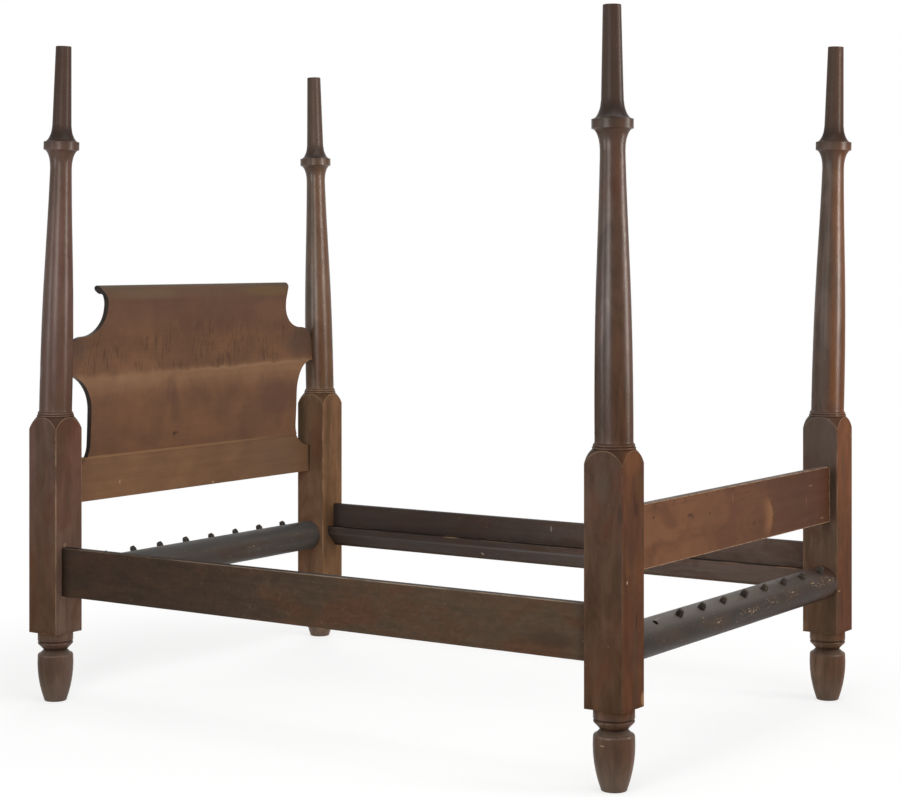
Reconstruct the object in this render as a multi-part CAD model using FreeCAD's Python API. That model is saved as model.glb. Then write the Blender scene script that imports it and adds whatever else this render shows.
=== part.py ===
import FreeCAD, Part
import math
import os

# Antique tall-post rope bed, in millimetres.
# X runs across the bed, +Y toward the head, +Z up. The origin is on the floor, midway between the posts.

# Plan: distances between the post axes
post_span_x = 1364.0
post_span_y = 2006.0

# Post: heights of the turned sections, stacked from the floor up
foot_height = 142.0
shoulder_height = 19.0
under_bead_height = 16.5
bead_height = 9.0
quirk_height = 3.5
neck_height = 26.0
block_height = 633.0
arch_rise = 41.0
ring_height = 7.0
upper_ring_height = 7.5
flare_height = 7.5
shaft_height = 757.0
lower_cove_height = 57.0
collar_height = 25.0
upper_cove_height = 58.0
spire_height = 241.0

# Post: radii of the turned sections
foot_base_radius = 35.0
foot_base_round = 4.0
foot_belly_radius = 51.6
foot_radius = 55.0
shoulder_round = 8.0
groove_radius = 36.5
bead_radius = 54.6
bead_depth = 2.4
neck_radius = 55.0
ring_radius = 58.0
ring_depth = 2.6
upper_ring_radius = 55.6
upper_ring_depth = 2.0
shaft_base_radius = 51.0
shaft_top_radius = 33.6
collar_radius = 55.3
spire_base_radius = 29.6
spire_top_radius = 24.3
spire_top_round = 2.0
# Height at which the foot's belly radius is taken, as a share of the foot's height
foot_belly_share = 0.48
# Entasis of the shaft: heights up it, and what is left of the taper there
shaft_height_shares = (0.0, 0.155, 0.485, 0.787, 1.0)
shaft_taper_shares = (1.0, 0.99, 0.753, 0.27, 0.0)
# Lean of each old shaft on its ring, in degrees: toward the head above zero, toward the foot below
foot_left_lean_degrees = 0.3
foot_right_lean_degrees = -1.4
head_left_lean_degrees = -1.75
head_right_lean_degrees = 1.4

# Post: square block that takes the rails
block_side = 116.0
arris_round = 2.5
# Dome that ends the block: how far its section bows out, and how far its crown stands inside the faces
dome_bow = 3.0
crown_inset = 0.6

# Headboard: its lower edge below the place where the blocks' arches spring
headboard_drop = 240.0
# Headboard: heights of its outline, stacked from its lower edge
band_height = 94.0
notch_lower_height = 87.0
waist_height = 110.0
notch_upper_height = 115.0
ear_height = 57.0
ear_round_height = 64.0
cove_height = 89.0
scroll_height = 73.5
# Headboard: widths of its outline, taken inward from the posts, and the scroll's flare outward again
notch_depth = 93.0
ear_round_width = 71.0
cove_width = 99.0
scroll_flare = 25.0
# Ends of the scroll: heights up them, and the share of the flare there
scroll_height_shares = (0.0, 0.37, 0.63, 0.82, 1.0)
scroll_flare_shares = (0.0, 0.08, 0.42, 0.84, 1.0)

# Headboard: lower board
headboard_rail_height = 140.0
headboard_rail_thickness = 22.0
headboard_rail_setback = 2.0
headboard_rail_round = 2.5

# Headboard: upper board, with its wavy face and rolled top edge
panel_thickness = 16.0
lip_thickness = 20.0
panel_reach = 20.0
lip_height = 46.0
roll_radius = 14.0
roll_offset = 29.0
throat_round = 5.0
# Wave of the face: heights from the board's lower edge to the lip, and how far forward it stands there
wave_height_shares = (0.0, 0.27, 0.46, 0.60, 0.76, 0.91, 1.0)
wave_reach_shares = (0.10, 0.50, 0.42, 0.06, 0.27, 0.75, 1.0)

# Foot board: its top edge below the place where the blocks' arches spring, and its section
foot_board_drop = 111.0
foot_board_height = 173.0
foot_board_thickness = 26.0
foot_board_inset = 25.0
foot_board_round = 2.5

# Rope rails: their axes above the lower ends of the blocks, and their section
rope_rail_rise = 158.0
rope_rail_radius = 51.0

# Side rails: their lower edges above the lower ends of the blocks, and their section
side_rail_rise = 118.0
side_rail_height = 152.0
side_rail_inset = 26.0
side_rail_thickness = 60.0
flange_thickness = 26.0
ledge_depth = 80.0
nose_height = 24.0
sole_width = 14.0
side_rail_round = 3.0

# Tenons: lengths, cheeks beside them and shoulders above and below them
side_tenon_length = 52.0
side_tenon_cheek = 6.0
side_tenon_shoulder = 16.0
rope_tenon_thickness = 44.0
rope_tenon_height = 64.0
foot_board_tenon_cheek = 5.0
foot_board_tenon_shoulder = 20.0
headboard_tenon_cheek = 4.0
headboard_tenon_shoulder = 14.0
board_tenon_length = 46.0
tenon_gap = 0.4
tenon_relief = 2.0
# Wood left in a post between the mortises of its side rail and its rope rail
mortise_wall = 14.0

# Rope pegs: rows, holes and whittled heads
peg_count = 9
empty_foot_hole_count = 1
foot_row_left_margin = 107.0
foot_row_right_margin = 80.0
head_row_left_margin = 77.0
head_row_right_margin = 118.0
peg_lean_degrees = 31.0
peg_hole_radius = 9.0
peg_hole_depth = 60.0
peg_gap = 0.15
peg_relief = 3.0
peg_proud = 18.0
peg_width = 21.0
peg_saddle = 5.0
peg_root = 3.0
peg_seat_gap = 0.2
# Whittling: number of sides, turn of the facets, length and width of each head along a row
peg_sides = (5, 6, 5, 6, 7, 5, 6, 5, 6)
peg_turn_shares = (0.10, 0.45, 0.80, 0.25, 0.60, 0.00, 0.35, 0.90, 0.55)
peg_length_shares = (0.94, 1.00, 0.97, 0.90, 1.04, 0.96, 1.00, 0.92, 1.02)
peg_width_shares = (0.98, 1.04, 1.00, 0.95, 1.02, 1.00, 0.94, 1.03, 0.97)
# Rings of a peg's head: height above the rail as shares of its length, and width as shares of its width
peg_ring_height_shares = (0.0, 0.62, 1.0)
peg_ring_width_shares = (1.05, 1.08, 0.72)

# Gap between the headboard's ears and the shafts
ear_gap = 0.3
# Overrun of every cut past the face it opens
cut_overrun = 2.0
# Handle length of a cubic curve that follows a quarter of an ellipse
quarter_handle_share = 0.5523

# Sizes worked out from those above
half_x = post_span_x / 2
half_y = post_span_y / 2
block_half = block_side / 2
inner_face_x = half_x - block_half
inner_face_y = half_y - block_half
outer_face_x = half_x + block_half
outer_face_y = half_y + block_half
groove_z = foot_height + shoulder_height
bead_z = groove_z + under_bead_height
quirk_z = bead_z + bead_height
neck_z = quirk_z + quirk_height
block_z = neck_z + neck_height
spring_z = block_z + block_height
ring_z = spring_z + arch_rise
upper_ring_z = ring_z + ring_height
flare_z = upper_ring_z + upper_ring_height
shaft_z = flare_z + flare_height
lower_cove_z = shaft_z + shaft_height
collar_z = lower_cove_z + lower_cove_height
upper_cove_z = collar_z + collar_height
spire_z = upper_cove_z + upper_cove_height
post_height = spire_z + spire_height
headboard_bottom_z = spring_z - headboard_drop
panel_bottom_z = headboard_bottom_z + headboard_rail_height
foot_board_bottom_z = spring_z - foot_board_drop - foot_board_height
rope_rail_z = block_z + rope_rail_rise
rope_axis_y = outer_face_y - rope_rail_radius
side_rail_bottom_z = block_z + side_rail_rise
side_rail_outer_x = outer_face_x - side_rail_inset
flange_inner_x = side_rail_outer_x - flange_thickness
rope_tenon_length = flange_inner_x - tenon_gap - mortise_wall - tenon_relief - inner_face_x


def vector(x, y, z):
    return FreeCAD.Vector(x, y, z)


def upright(radius, height):
    """Point of a turned outline, in the XZ plane."""
    return vector(radius, 0, height)


def line(start, end):
    return Part.LineSegment(start, end).toShape()


def arc(start, middle, end):
    return Part.Arc(start, middle, end).toShape()


def quarter(start, corner, end):
    """Quarter of an ellipse that leaves start toward corner and arrives at end from corner."""
    curve = Part.BezierCurve()
    curve.setPoles([
        start,
        start + (corner - start) * quarter_handle_share,
        end + (corner - end) * quarter_handle_share,
        end,
    ])
    return curve.toShape()


def spline(points):
    curve = Part.BSplineCurve()
    curve.interpolate(points)
    return curve.toShape()


def filled(edges):
    return Part.Face(Part.Wire(edges))


def turned(edges):
    """Solid of revolution about Z of an outline that starts and ends on the axis."""
    face = filled(edges + [line(edges[-1].Vertexes[-1].Point, edges[0].Vertexes[0].Point)])
    return face.revolve(vector(0, 0, 0), vector(0, 0, 1), 360)


def box_between(low, high):
    """Box between two opposite corners, given in any order."""
    corner = vector(min(low[0], high[0]), min(low[1], high[1]), min(low[2], high[2]))
    sizes = [abs(high[i] - low[i]) for i in range(3)]
    return Part.makeBox(*sizes, corner)


def rounded_face(points, radii):
    """Flat face of a polygon whose corners are rounded; a radius of zero leaves a corner sharp."""
    edges = []
    ends = []
    for index, (corner, radius) in enumerate(zip(points, radii)):
        back = (points[index - 1] - corner).normalize()
        ahead = (points[(index + 1) % len(points)] - corner).normalize()
        half_angle = back.getAngle(ahead) / 2
        reach = radius / math.tan(half_angle)
        start = corner + back * reach
        end = corner + ahead * reach
        if radius > 0:
            bisector = (back + ahead).normalize()
            middle = corner + bisector * (radius / math.sin(half_angle) - radius)
            edges.append(arc(start, middle, end))
        else:
            edges.append(None)
        ends.append((start, end))
    wire = []
    for index, edge in enumerate(edges):
        if edge is not None:
            wire.append(edge)
        wire.append(line(ends[index][1], ends[(index + 1) % len(ends)][0]))
    return filled(wire)


def joined(shapes):
    return shapes[0].multiFuse(shapes[1:]).removeSplitter()


def tenon(axis, side, shoulder, length, across, height, gap=0, relief=0, root=0):
    """Tenon along X or Y past a shoulder plane; with a gap and a relief it is the mortise that takes it."""
    along = (side * (shoulder - root), side * (shoulder + length + relief))
    sideways = (min(across) - gap, max(across) + gap)
    upward = (height[0] - gap, height[1] + gap)
    if axis == "x":
        return box_between((along[0], sideways[0], upward[0]), (along[1], sideways[1], upward[1]))
    return box_between((sideways[0], along[0], upward[0]), (sideways[1], along[1], upward[1]))


# Fits of the mortises and tenons
mortise_fit = {"gap": tenon_gap, "relief": tenon_relief, "root": cut_overrun}
tenon_fit = {"root": cut_overrun}


def side_rail_tenon(side_x, side_y, fit):
    across = (side_x * (side_rail_outer_x - side_tenon_cheek), side_x * flange_inner_x)
    low = side_rail_bottom_z + side_tenon_shoulder
    high = side_rail_bottom_z + side_rail_height - side_tenon_shoulder
    return tenon("y", side_y, inner_face_y, side_tenon_length, across, (low, high), **fit)


def rope_rail_tenon(side_x, side_y, fit):
    middle = side_y * rope_axis_y
    across = (middle - rope_tenon_thickness / 2, middle + rope_tenon_thickness / 2)
    low = rope_rail_z - rope_tenon_height / 2
    high = low + rope_tenon_height
    return tenon("x", side_x, inner_face_x, rope_tenon_length, across, (low, high), **fit)


def foot_board_tenon(side_x, fit):
    front = foot_board_inset - outer_face_y
    back = front + foot_board_thickness
    across = (front + foot_board_tenon_cheek, back - foot_board_tenon_cheek)
    low = foot_board_bottom_z + foot_board_tenon_shoulder
    high = foot_board_bottom_z + foot_board_height - foot_board_tenon_shoulder
    return tenon("x", side_x, inner_face_x, board_tenon_length, across, (low, high), **fit)


def headboard_tenon(side_x, fit):
    front = half_y + headboard_rail_setback
    back = front + headboard_rail_thickness
    across = (front + headboard_tenon_cheek, back - headboard_tenon_cheek)
    low = headboard_bottom_z + headboard_tenon_shoulder
    high = headboard_bottom_z + band_height - headboard_tenon_shoulder
    return tenon("x", side_x, inner_face_x, board_tenon_length, across, (low, high), **fit)


def post_foot():
    """Vase-shaped foot, groove, bead and neck below the block."""
    bead_root = bead_radius - bead_depth
    base_centre = upright(foot_base_radius - foot_base_round, 0)
    base_edge = upright(foot_base_radius, foot_base_round)
    widest = upright(foot_radius, foot_height)
    shoulder = upright(foot_radius - shoulder_round, foot_height + shoulder_round)
    groove = upright(groove_radius, groove_z)
    bead_low = upright(bead_root, bead_z)
    bead_out = upright(bead_radius, bead_z + bead_height / 2)
    bead_high = upright(bead_root, quirk_z)
    return turned([
        line(upright(0, 0), base_centre),
        quarter(base_centre, upright(foot_base_radius, 0), base_edge),
        arc(base_edge, upright(foot_belly_radius, foot_height * foot_belly_share), widest),
        quarter(widest, upright(foot_radius, foot_height + shoulder_round), shoulder),
        line(shoulder, groove),
        line(groove, bead_low),
        arc(bead_low, bead_out, bead_high),
        line(bead_high, upright(neck_radius, neck_z)),
        line(upright(neck_radius, neck_z), upright(neck_radius, block_z)),
        line(upright(neck_radius, block_z), upright(0, block_z)),
    ])


def post_block():
    """Square block whose top is turned to a dome, so that each face ends in a round arch."""
    arris_radius = math.hypot(block_half, block_half)
    spring = upright(arris_radius, spring_z)
    crown = upright(block_half - crown_inset, ring_z)
    rise = crown - spring
    outward = vector(rise.z, 0, -rise.x).normalize()
    dome = turned([
        line(upright(0, block_z), upright(arris_radius, block_z)),
        line(upright(arris_radius, block_z), spring),
        arc(spring, (spring + crown) * 0.5 + outward * dome_bow, crown),
        line(crown, upright(0, ring_z)),
    ])
    quadrants = ((-1, -1), (1, -1), (1, 1), (-1, 1))
    corners = [vector(x * block_half, y * block_half, block_z) for x, y in quadrants]
    square = rounded_face(corners, [arris_round] * len(corners)).extrude(vector(0, 0, ring_z - block_z))
    return square.common(dome)


def post_ring():
    """Half-round ring on top of the block, with a flat top that carries the shaft."""
    ring_root = ring_radius - ring_depth
    ring_low = upright(ring_root, ring_z)
    ring_out = upright(ring_radius, ring_z + ring_height / 2)
    ring_high = upright(ring_root, upper_ring_z)
    return turned([
        line(upright(0, spring_z), upright(ring_root, spring_z)),
        line(upright(ring_root, spring_z), ring_low),
        arc(ring_low, ring_out, ring_high),
        line(ring_high, upright(0, upper_ring_z)),
    ])


def post_shaft():
    """Upper ring, tapered shaft, collar between two coves, and flat-topped spire."""
    ring_root = upper_ring_radius - upper_ring_depth
    ring_low = upright(ring_root, upper_ring_z)
    ring_out = upright(upper_ring_radius, upper_ring_z + upper_ring_height / 2)
    ring_high = upright(ring_root, flare_z)
    taper = shaft_base_radius - shaft_top_radius
    shaft_points = [
        upright(shaft_top_radius + taper * kept, shaft_z + shaft_height * height)
        for height, kept in zip(shaft_height_shares, shaft_taper_shares)
    ]
    collar_bottom = upright(collar_radius, collar_z)
    collar_top = upright(collar_radius, upper_cove_z)
    spire_foot = upright(spire_base_radius, spire_z)
    spire_edge = upright(spire_top_radius, post_height - spire_top_round)
    spire_rim = upright(spire_top_radius - spire_top_round, post_height)
    return turned([
        line(upright(0, ring_z), upright(ring_root, ring_z)),
        line(upright(ring_root, ring_z), ring_low),
        arc(ring_low, ring_out, ring_high),
        quarter(ring_high, upright(shaft_base_radius, flare_z), shaft_points[0]),
        spline(shaft_points),
        quarter(shaft_points[-1], upright(shaft_top_radius, collar_z), collar_bottom),
        line(collar_bottom, collar_top),
        quarter(collar_top, upright(spire_base_radius, upper_cove_z), spire_foot),
        line(spire_foot, spire_edge),
        quarter(spire_edge, upright(spire_top_radius, post_height), spire_rim),
        line(spire_rim, upright(0, post_height)),
    ])


def post(lower, upper, lean_degrees, side_x, side_y):
    """One post in its place, its shaft leaning on its ring, with the mortises of what meets it."""
    leaning = upper.copy()
    leaning.rotate(vector(0, 0, upper_ring_z), vector(1, 0, 0), -lean_degrees)
    solid = joined([lower, leaning])
    solid.translate(vector(side_x * half_x, side_y * half_y, 0))
    mortises = [side_rail_tenon(side_x, side_y, mortise_fit), rope_rail_tenon(side_x, side_y, mortise_fit)]
    if side_y > 0:
        mortises.append(headboard_tenon(side_x, mortise_fit))
    else:
        mortises.append(foot_board_tenon(side_x, mortise_fit))
    for mortise in mortises:
        solid = solid.cut(mortise)
    return solid


def headboard_edge(side):
    """One end of the headboard's outline, from its lower corner up to the scroll."""
    band = inner_face_x
    waist = inner_face_x - notch_depth
    ear = half_x - shaft_base_radius - ear_gap
    ear_top = ear - ear_round_width
    neck = ear_top - cove_width
    z = headboard_bottom_z

    def at(half_width, height):
        return vector(side * half_width, 0, height)

    edges = [line(at(band, z), at(band, z + band_height))]
    z += band_height
    top = z + notch_lower_height
    edges.append(quarter(at(band, z), at(waist, z), at(waist, top)))
    z = top + waist_height
    edges.append(line(at(waist, top), at(waist, z)))
    top = z + notch_upper_height
    edges.append(quarter(at(waist, z), at(waist, top), at(ear, top)))
    z = top + ear_height
    edges.append(line(at(ear, top), at(ear, z)))
    top = z + ear_round_height
    edges.append(quarter(at(ear, z), at(ear, top), at(ear_top, top)))
    z = top + cove_height
    edges.append(quarter(at(ear_top, top), at(neck, top), at(neck, z)))
    edges.append(spline([
        at(neck + scroll_flare * flare, z + scroll_height * height)
        for height, flare in zip(scroll_height_shares, scroll_flare_shares)
    ]))
    return edges


def headboard_outline():
    """Prism of the headboard's outline, seen from the foot, deep enough to hold both boards."""
    right = headboard_edge(1)
    left = headboard_edge(-1)
    top = line(right[-1].Vertexes[-1].Point, left[-1].Vertexes[-1].Point)
    bottom = line(left[0].Vertexes[0].Point, right[0].Vertexes[0].Point)
    face = filled(right + [top] + left[::-1] + [bottom])
    face.translate(vector(0, inner_face_y, 0))
    return face.extrude(vector(0, block_side, 0))


def headboard_panel(outline):
    """Upper board: a wavy section with a rolled top edge, cut to the outline."""
    panel_top_z = (headboard_bottom_z + band_height + notch_lower_height + waist_height + notch_upper_height
                   + ear_height + ear_round_height + cove_height + scroll_height)
    lip_z = panel_top_z - lip_height
    face_height = lip_z - panel_bottom_z
    roll_z = panel_top_z - roll_radius

    def at(setback, height):
        return vector(-outer_face_x, half_y - panel_reach + setback, height)

    front = [
        at(panel_reach * (1 - reach), panel_bottom_z + face_height * height)
        for height, reach in zip(wave_height_shares, wave_reach_shares)
    ]
    back = [
        point + vector(0, panel_thickness + (lip_thickness - panel_thickness) * reach, 0)
        for point, reach in zip(front, wave_reach_shares)
    ]
    roll_top = at(roll_offset, panel_top_z)
    roll_back = at(roll_offset + roll_radius, roll_z)
    throat_z = roll_z - roll_radius
    roll_bottom = at(roll_offset, throat_z)
    throat_back = at(lip_thickness + throat_round, throat_z)
    throat_low = at(lip_thickness, throat_z - throat_round)
    section = filled([
        spline(front),
        quarter(front[-1], at(0, panel_top_z), roll_top),
        arc(roll_top, roll_back, roll_bottom),
        line(roll_bottom, throat_back),
        quarter(throat_back, at(lip_thickness, throat_z), throat_low),
        line(throat_low, back[-1]),
        spline(back),
        line(back[0], front[0]),
    ])
    return section.extrude(vector(outer_face_x * 2, 0, 0)).common(outline)


def headboard_rail(outline):
    """Lower board: a flat band with a tenon at each end."""
    front = half_y + headboard_rail_setback
    back = front + headboard_rail_thickness
    corners = [
        vector(-inner_face_x, front, headboard_bottom_z),
        vector(-inner_face_x, back, headboard_bottom_z),
        vector(-inner_face_x, back, panel_bottom_z),
        vector(-inner_face_x, front, panel_bottom_z),
    ]
    radii = [headboard_rail_round, headboard_rail_round, 0, 0]
    band = rounded_face(corners, radii).extrude(vector(inner_face_x * 2, 0, 0)).common(outline)
    return joined([band] + [headboard_tenon(side, tenon_fit) for side in (-1, 1)])


def foot_board():
    """Plain board with eased edges and a tenon at each end."""
    front = foot_board_inset - outer_face_y
    back = front + foot_board_thickness
    top = foot_board_bottom_z + foot_board_height
    corners = [
        vector(-inner_face_x, front, foot_board_bottom_z),
        vector(-inner_face_x, back, foot_board_bottom_z),
        vector(-inner_face_x, back, top),
        vector(-inner_face_x, front, top),
    ]
    board = rounded_face(corners, [foot_board_round] * len(corners)).extrude(vector(inner_face_x * 2, 0, 0))
    return joined([board] + [foot_board_tenon(side, tenon_fit) for side in (-1, 1)])


def side_rail(side):
    """Rail with a flat outer face, a rabbet that leaves a ledge, and a sloping underside."""
    top = side_rail_bottom_z + side_rail_height
    ledge = top - ledge_depth
    nose = side_rail_outer_x - side_rail_thickness
    outline = [
        (side_rail_outer_x, side_rail_bottom_z, side_rail_round),
        (side_rail_outer_x, top, side_rail_round),
        (flange_inner_x, top, side_rail_round),
        (flange_inner_x, ledge, 0),
        (nose, ledge, side_rail_round),
        (nose, ledge - nose_height, side_rail_round),
        (side_rail_outer_x - sole_width, side_rail_bottom_z, side_rail_round),
    ]
    corners = [vector(side * x, -inner_face_y, z) for x, z, radius in outline]
    section = rounded_face(corners, [radius for x, z, radius in outline])
    bar = section.extrude(vector(0, inner_face_y * 2, 0))
    return joined([bar] + [side_rail_tenon(side, end, tenon_fit) for end in (-1, 1)])


def peg_direction(side_y):
    lean = math.radians(peg_lean_degrees)
    return vector(0, side_y * math.sin(lean), math.cos(lean))


def peg_places(side_y):
    """Points of a rope rail's axis below its pegs, from the bed's left to its right."""
    if side_y > 0:
        left_margin, right_margin = head_row_left_margin, head_row_right_margin
    else:
        left_margin, right_margin = foot_row_left_margin, foot_row_right_margin
    start = left_margin - inner_face_x
    pitch = (inner_face_x - right_margin - start) / (peg_count - 1)
    return [vector(start + pitch * index, side_y * rope_axis_y, rope_rail_z) for index in range(peg_count)]


def rope_rail_round(side_y, gap=0):
    start = vector(-inner_face_x, side_y * rope_axis_y, rope_rail_z)
    return Part.makeCylinder(rope_rail_radius + gap, inner_face_x * 2, start, vector(1, 0, 0))


def rope_rail(side_y):
    """Round rail with a square tenon at each end and a row of peg holes on its upper outer side."""
    bar = joined([rope_rail_round(side_y)] + [rope_rail_tenon(side, side_y, tenon_fit) for side in (-1, 1)])
    direction = peg_direction(side_y)
    for place in peg_places(side_y):
        floor = place + direction * (rope_rail_radius - peg_hole_depth)
        bar = bar.cut(Part.makeCylinder(peg_hole_radius, peg_hole_depth + cut_overrun, floor, direction))
    return bar


def peg(index, side_y):
    """Round shank in its hole, rooted in a whittled head that saddles the rail."""
    place = peg_places(side_y)[index]
    direction = peg_direction(side_y)
    shank_foot = place + direction * (rope_rail_radius - peg_hole_depth + peg_relief)
    shank_length = peg_hole_depth - peg_relief + peg_root
    shank = Part.makeCylinder(peg_hole_radius - peg_gap, shank_length, shank_foot, direction)
    order = (index if side_y < 0 else peg_count - 1 - index) % len(peg_sides)
    sides = peg_sides[order]
    step = 2 * math.pi / sides
    across = vector(1, 0, 0)
    along = direction.cross(across)
    low = rope_rail_radius - peg_saddle
    high = rope_rail_radius + peg_proud * peg_length_shares[order]
    rings = []
    for height, width in zip(peg_ring_height_shares, peg_ring_width_shares):
        radius = peg_width / 2 * peg_width_shares[order] * width
        centre = place + direction * (low + (high - low) * height)
        angles = [step * (corner + peg_turn_shares[order]) for corner in range(sides + 1)]
        outline = [(radius * math.cos(angle), radius * math.sin(angle)) for angle in angles]
        rings.append(Part.makePolygon([centre + across * u + along * v for u, v in outline]))
    head = Part.makeLoft(rings, True, True).cut(rope_rail_round(side_y, peg_seat_gap))
    return joined([head, shank])


def build():
    nodes = {}
    lower = joined([post_foot(), post_block(), post_ring()])
    upper = post_shaft()
    nodes["post_foot_left"] = post(lower, upper, foot_left_lean_degrees, -1, -1)
    nodes["post_foot_right"] = post(lower, upper, foot_right_lean_degrees, 1, -1)
    nodes["post_head_left"] = post(lower, upper, head_left_lean_degrees, -1, 1)
    nodes["post_head_right"] = post(lower, upper, head_right_lean_degrees, 1, 1)
    outline = headboard_outline()
    nodes["headboard_panel"] = headboard_panel(outline)
    nodes["headboard_rail"] = headboard_rail(outline)
    nodes["foot_board"] = foot_board()
    for hand, side_x in (("left", -1), ("right", 1)):
        nodes[f"side_rail_{hand}"] = side_rail(side_x)
    for end, side_y in (("foot", -1), ("head", 1)):
        nodes[f"{end}_rope_rail"] = rope_rail(side_y)
        for index in range(peg_count):
            if side_y < 0 and index < empty_foot_hole_count:
                continue
            nodes[f"{end}_rope_peg_{index + 1}"] = peg(index, side_y)
    return nodes


os.makedirs("parts", exist_ok=True)
for name, shape in build().items():
    solid = shape.Solids[0] if len(shape.Solids) == 1 else shape
    box = solid.optimalBoundingBox(False)
    print(f"{name}: solids {len(shape.Solids)}, valid {solid.isValid()}, volume {solid.Volume:.0f} mm3,"
          f" x {box.XMin:.1f} to {box.XMax:.1f}, y {box.YMin:.1f} to {box.YMax:.1f},"
          f" z {box.ZMin:.1f} to {box.ZMax:.1f}")
    solid.exportStep(f"parts/{name}.step")
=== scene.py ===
import bpy
import math
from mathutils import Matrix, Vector


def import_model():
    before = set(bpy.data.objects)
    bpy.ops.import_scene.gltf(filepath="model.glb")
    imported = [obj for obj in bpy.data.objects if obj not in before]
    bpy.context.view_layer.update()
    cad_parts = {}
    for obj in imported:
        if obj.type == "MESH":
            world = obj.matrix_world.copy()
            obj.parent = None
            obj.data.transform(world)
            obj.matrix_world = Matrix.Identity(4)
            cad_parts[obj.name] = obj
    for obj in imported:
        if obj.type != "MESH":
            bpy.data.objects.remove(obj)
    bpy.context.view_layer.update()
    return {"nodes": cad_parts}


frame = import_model()

# Camera at the photograph's viewing angle: level, with its frame shifted below the horizon
camera_place = (-5.480, -3.706, 1.394)
camera_heading_degrees = 56.15
focal_length_px = 2105.2
horizon_row_px = 255.8
frame_width_px = 900
frame_height_px = 797
sensor_width_mm = 36.0

# Tints of the lights
white_tint = (1.0, 1.0, 1.0)
faint_tint = (1.0, 0.98, 0.96)
mild_tint = (1.0, 0.97, 0.94)
warm_tint = (1.0, 0.95, 0.90)

# Softboxes: place, width and height, radiance and tint
softboxes = {
    "right_softbox": {"place": (1.8, -6.0, 1.6), "size": (1.8, 2.2), "radiance": 9.0, "tint": warm_tint},
    "left_softbox": {"place": (-4.0, -0.85, 1.45), "size": (0.9, 1.3), "radiance": 11.0, "tint": mild_tint},
    "left_strip": {"place": (-3.9, 2.3, 0.95), "size": (0.6, 0.9), "radiance": 7.0, "tint": faint_tint},
    "top_softbox": {"place": (-0.6, -1.2, 4.2), "size": (3.0, 3.0), "radiance": 2.4, "tint": white_tint},
}
# Soft fill for the sides turned away from the photograph's camera
back_fill = {"place": (4.2, 3.2, 2.2), "size": (2.5, 2.5), "radiance": 3.5, "tint": faint_tint}
# Cards that show only as highlights on polished wood
highlight_cards = {
    "right_card": {"place": (0.72, -2.85, 1.55), "size": (0.28, 1.9), "radiance": 25.0, "tint": warm_tint,
                   "target": (0.72, 0.0, 1.5), "spread_degrees": 104.0},
    "left_card": {"place": (-4.1, -0.55, 1.45), "size": (1.6, 1.3), "radiance": 7.0, "tint": faint_tint},
    "left_strip_card": {"place": (-4.0, 2.3, 1.1), "size": (0.6, 1.2), "radiance": 17.0, "tint": faint_tint},
}
# Where a light aims unless its own target is given, and how strongly the white surroundings light the bed
softbox_target = (0.0, 0.0, 0.9)
world_fill = 0.4

# Floor: half its side, its grey where it lights the bed, its grey and glow where it shows, and the distances
# over which the bed's shadow fades to plain white, measured with the bed's length drawn in
floor_half = 40.0
floor_grey = (0.8, 0.8, 0.8, 1.0)
shown_floor_grey = (0.35, 0.35, 0.35, 1.0)
shown_floor_glow = 0.70
shadow_fade = (1.0, 1.9)
shadow_stretch = (1.0, 0.75, 1.0)

# Posts: their axes, the square blocks between the turned parts, and the dome that ends each block
post_x = 0.682
post_y = 1.003
block_half = 0.058
block_bottom = 0.216
arch_spring = 0.849
arch_top = 0.890
crown_half = 0.0574
dome_bow = 0.003
collar_top = 1.7512
spire_bottom = 1.76
spire_fade = (spire_bottom - 0.06, spire_bottom + 0.02)

# Posts: where a block's flat faces begin, by the larger of the distances from the axis along X and Y,
# and where its arrises begin, by their sum
face_fade = (0.0566, 0.0577)
arris_fade = (0.1116, 0.1142)

# Posts: heights on the turned foot, on the two rings above the block and at the start of the shaft
foot_shoulder = 0.151
foot_neck = 0.161
foot_groove = 0.1885
foot_fade = (0.19, 0.21)
ring_grooves = (0.8903, 0.8972)
ring_crests = (0.8935, 0.9010)
shaft_groove = 0.9050
shaft_fade = (0.895, 0.925)

# Headboard: edges of the joint between its two boards, worn lower edge, crest of the wave and rolled top
panel_joint_fade = (0.7500, 0.7525)
rail_joint_fade = (0.7425, 0.7452)
headboard_bottom_fade = (0.610, 0.6135)
crest_height = 0.992
roll_fade = (1.2925, 1.2965)

# Foot board: its worn upper, lower and end edges, and the middle of the ring figure
board_top_fade = (0.7350, 0.7370)
board_bottom_fade = (0.5662, 0.5686)
board_end_fade = (0.6180, 0.6205)
ring_centre = (0.088, 0.0, 0.618)

# Side rails: inner and outer faces, edges of the top, ledge, nose and bottom, and the tenons' shoulders
inner_face_fade = (0.6895, 0.6910)
outer_face_fade = (0.7095, 0.7115)
rail_top_fade = (0.4822, 0.4834)
ledge_edge = 0.4055
nose_edge = 0.3815
rail_bottom_fade = (0.3352, 0.3368)
shoulder_fade = (0.9452, 0.9460)

# Directions in which faces look
upward = (0.0, 0.0, 1.0)
rightward = (1.0, 0.0, 0.0)
leftward = (-1.0, 0.0, 0.0)

# Circle of the dome's section, from its chord and bow
arris_radius = block_half * math.sqrt(2.0)
dome_run = arris_radius - crown_half
dome_rise = arch_top - arch_spring
dome_chord = math.hypot(dome_run, dome_rise)
dome_radius = dome_chord ** 2 / (8 * dome_bow) + dome_bow / 2
dome_centre_out = (arris_radius + crown_half) / 2 - dome_rise / dome_chord * (dome_radius - dome_bow)
dome_centre_z = (arch_spring + arch_top) / 2 - dome_run / dome_chord * (dome_radius - dome_bow)


def srgb(red, green, blue):
    """Linear colour of one given in steps of 0 to 255 as it shows on a screen."""
    return tuple(((step / 255 + 0.055) / 1.055) ** 2.4 for step in (red, green, blue))


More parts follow.
